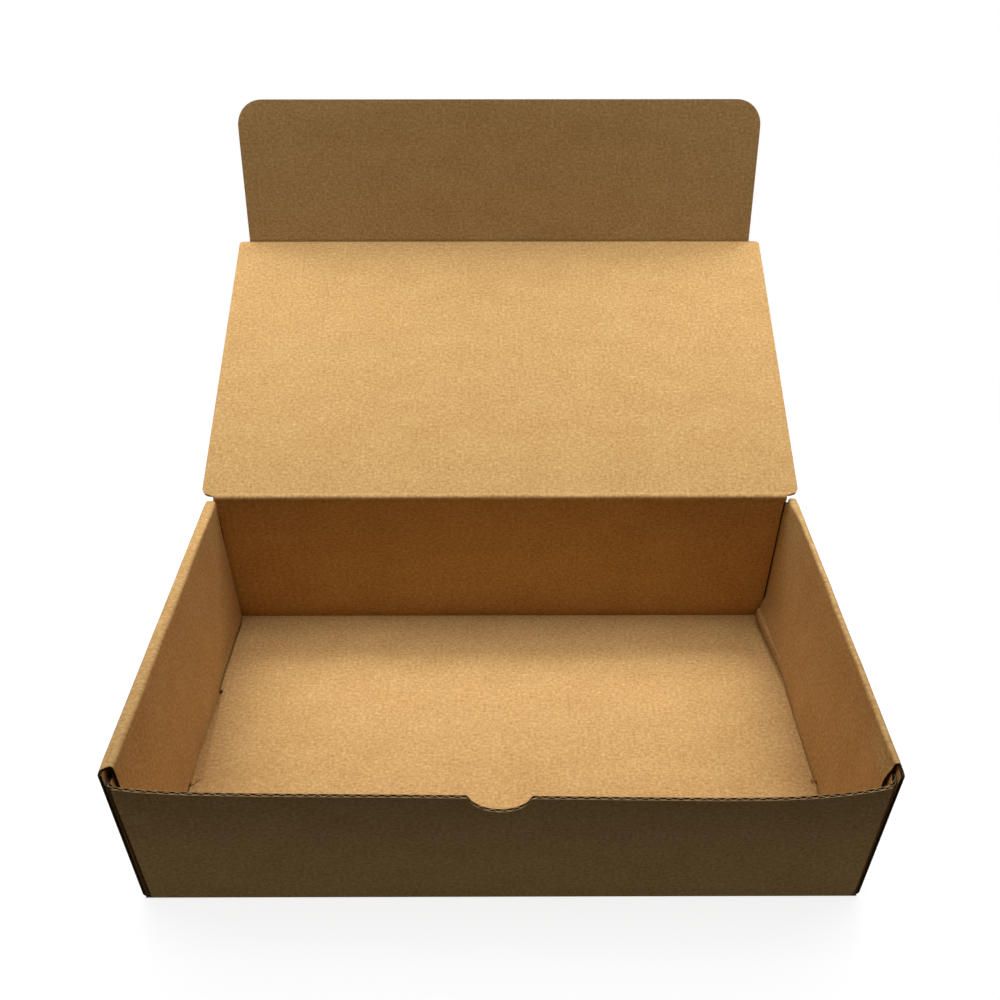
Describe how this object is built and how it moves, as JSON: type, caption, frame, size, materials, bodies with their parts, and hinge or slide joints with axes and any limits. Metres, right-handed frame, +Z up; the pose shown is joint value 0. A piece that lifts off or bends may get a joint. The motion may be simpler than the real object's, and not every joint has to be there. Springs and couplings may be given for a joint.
{
  "type": "cardboard mailer box",
  "caption": "Shallow roll-end mailer box of fine corrugated kraft board, standing open: tray with rolled double side walls and a thumb notch, hinged lid and hinged tuck flap.",
  "frame": {"origin": "middle of the tray's underside", "axes": "+X along the front to the right, +Y from the front wall to the back wall, +Z up"},
  "size_m": [0.2346, 0.2616, 0.1808],
  "materials": {
    "kraft_board": "uncoated brown kraft, matt, with faint flute lines"
  },
  "bodies": {
    "tray": {"tray": "kraft_board"},
    "lid": {"lid": "kraft_board"},
    "tuck_flap": {"tuck_flap": "kraft_board"}
  },
  "joints": [
    {"name": "lid_hinge", "type": "hinge", "parent": "tray", "child": "lid", "pos_m": [0, 0.0658, 0.064], "axis": [1, 0, 0], "range_deg": [-26.5, 153.5]},
    {"name": "tuck_hinge", "type": "hinge", "parent": "lid", "child": "tuck_flap", "pos_m": [0, 0.18196, 0.12192], "axis": [1, 0, 0], "range_deg": [-51.5, 38.5]}
  ]
}
